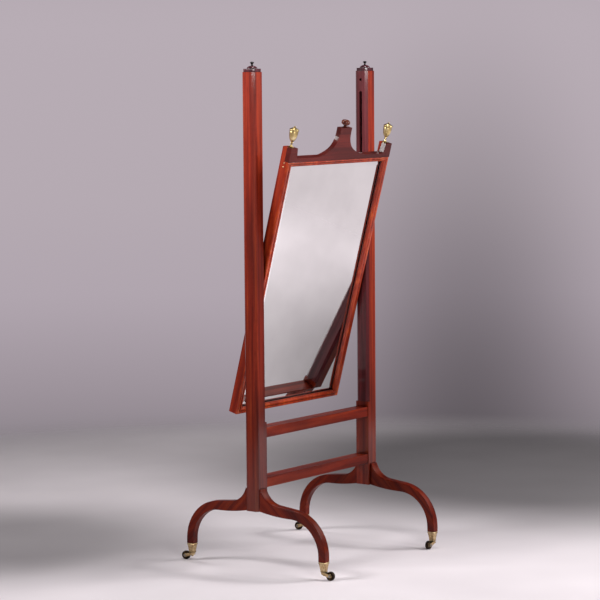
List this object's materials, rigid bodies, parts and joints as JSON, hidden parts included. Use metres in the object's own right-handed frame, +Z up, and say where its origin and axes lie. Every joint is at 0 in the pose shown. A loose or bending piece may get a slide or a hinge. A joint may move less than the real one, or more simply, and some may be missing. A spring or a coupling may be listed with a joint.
{
  "type": "cheval mirror",
  "caption": "Rising cheval floor mirror: hollow posts on swept caster legs carry a counterweighted tilting bevelled mirror with a shaped crest and brass urns.",
  "frame": {"origin": "on the floor, midway between the posts and between the front and back casters", "axes": "+Z up, the glass faces -Y, +X to the right post (the far one when seen from the front left)"},
  "size_m": [0.65, 0.6044, 1.598],
  "materials": {
    "mahogany_stand": "French polished, aged, glossy",
    "mahogany_frame": "French polished, darker board",
    "mahogany_moulding": "French polished moulding, warmer red",
    "ebonised": "stained black and waxed",
    "crest_knob": "turned mahogany, high gloss",
    "pine": "bare",
    "backboard_wood": "stained, matt",
    "finial_brass": "cast, chased and lacquered",
    "caster_brass": "cast, worn",
    "caster_wheel": "turned, tarnished",
    "mechanism_brass": "turned",
    "steel": "turned",
    "lead": "cast, dull",
    "cord": "waxed cotton",
    "leather": "sole leather",
    "silvered_glass": "silvered at the back, bevelled"
  },
  "bodies": {
    "root": {"left_post": "mahogany_stand", "right_post": "mahogany_stand", "left_cheek": "mahogany_stand", "right_cheek": "mahogany_stand", "left_post_cap": "mahogany_stand", "right_post_cap": "mahogany_stand", "lower_rail": "mahogany_stand", "upper_rail": "mahogany_stand", "left_back_leg": "mahogany_stand", "left_front_leg": "mahogany_stand", "right_back_leg": "mahogany_stand", "right_front_leg": "mahogany_stand", "left_cap_knob": "ebonised", "right_cap_knob": "ebonised", "left_back_cup": "caster_brass", "left_front_cup": "caster_brass", "right_back_cup": "caster_brass", "right_front_cup": "caster_brass", "pulley_pins": "steel", "carriage_cords": "cord", "weight_cords": "cord", "cord_bends": "cord"},
    "lift": {"left_carriage": "mechanism_brass", "right_carriage": "mechanism_brass", "left_pivot_pin": "steel", "right_pivot_pin": "steel", "friction_washers": "leather"},
    "mirror": {"left_stile": "mahogany_frame", "right_stile": "mahogany_frame", "bottom_rail": "mahogany_frame", "top_rail": "mahogany_frame", "front_mouldings": "mahogany_moulding", "crest": "mahogany_frame", "crest_knob": "crest_knob", "mirror_plate": "silvered_glass", "glazing_blocks": "pine", "backboard": "backboard_wood", "backboard_screws": "mechanism_brass", "left_finial": "finial_brass", "right_finial": "finial_brass", "left_pivot_bush": "mechanism_brass", "right_pivot_bush": "mechanism_brass"},
    "left_weight": {"left_counterweight": "lead"},
    "left_pulley": {"left_pulley": "mechanism_brass"},
    "right_weight": {"right_counterweight": "lead"},
    "right_pulley": {"right_pulley": "mechanism_brass"},
    "left_back_swivel": {"left_back_fork": "caster_brass", "left_back_axle": "steel"},
    "left_back_roll": {"left_back_wheel": "caster_wheel"},
    "left_front_swivel": {"left_front_fork": "caster_brass", "left_front_axle": "steel"},
    "left_front_roll": {"left_front_wheel": "caster_wheel"},
    "right_back_swivel": {"right_back_fork": "caster_brass", "right_back_axle": "steel"},
    "right_back_roll": {"right_back_wheel": "caster_wheel"},
    "right_front_swivel": {"right_front_fork": "caster_brass", "right_front_axle": "steel"},
    "right_front_roll": {"right_front_wheel": "caster_wheel"}
  },
  "joints": [
    {"name": "lift", "type": "slide", "parent": "root", "child": "lift", "axis": [0, 0, 1], "range_m": [0, 0.45], "deforming": ["carriage_cords", "weight_cords"]},
    {"name": "tilt", "type": "hinge", "parent": "lift", "child": "mirror", "pos_m": [0, 0, 0.915], "axis": [1, 0, 0], "range_deg": [-105, 75]},
    {"name": "left_weight_slide", "type": "slide", "parent": "root", "child": "left_weight", "axis": [0, 0, 1], "range_m": [-0.45, 0]},
    {"name": "left_pulley_spin", "type": "hinge", "parent": "root", "child": "left_pulley", "pos_m": [-0.29652, 0, 1.537], "axis": [0, 1, 0], "range_deg": [-3026, 0]},
    {"name": "right_weight_slide", "type": "slide", "parent": "root", "child": "right_weight", "axis": [0, 0, 1], "range_m": [-0.45, 0]},
    {"name": "right_pulley_spin", "type": "hinge", "parent": "root", "child": "right_pulley", "pos_m": [0.29652, 0, 1.537], "axis": [0, 1, 0], "range_deg": [0, 3026]},
    {"name": "left_back_swivel", "type": "hinge", "parent": "root", "child": "left_back_swivel", "pos_m": [-0.3, 0.264, 0.024], "axis": [0, 0, 1], "continuous": true},
    {"name": "left_back_roll", "type": "hinge", "parent": "left_back_swivel", "child": "left_back_roll", "pos_m": [-0.30292, 0.28782, 0.014], "axis": [-0.9925, -0.1219, 0], "continuous": true},
    {"name": "left_front_swivel", "type": "hinge", "parent": "root", "child": "left_front_swivel", "pos_m": [-0.3, -0.264, 0.024], "axis": [0, 0, 1], "continuous": true},
    {"name": "left_front_roll", "type": "hinge", "parent": "left_front_swivel", "child": "left_front_roll", "pos_m": [-0.29749, -0.28787, 0.014], "axis": [0.9945, 0.1045, 0], "continuous": true},
    {"name": "right_back_swivel", "type": "hinge", "parent": "root", "child": "right_back_swivel", "pos_m": [0.3, 0.264, 0.024], "axis": [0, 0, 1], "continuous": true},
    {"name": "right_back_roll", "type": "hinge", "parent": "right_back_swivel", "child": "right_back_roll", "pos_m": [0.29916, 0.28798, 0.014], "axis": [-0.9994, -0.0349, 0], "continuous": true},
    {"name": "right_front_swivel", "type": "hinge", "parent": "root", "child": "right_front_swivel", "pos_m": [0.3, -0.264, 0.024], "axis": [0, 0, 1], "continuous": true},
    {"name": "right_front_roll", "type": "hinge", "parent": "right_front_swivel", "child": "right_front_roll", "pos_m": [0.27602, -0.26484, 0.014], "axis": [0.0349, -0.9994, 0], "continuous": true}
  ],
  "couplings": [
    {"joint": "left_weight_slide", "follows": "lift", "ratio": -1},
    {"joint": "left_pulley_spin", "follows": "lift", "rad_per_m": -117.3},
    {"joint": "right_weight_slide", "follows": "lift", "ratio": -1},
    {"joint": "right_pulley_spin", "follows": "lift", "rad_per_m": 117.3}
  ]
}
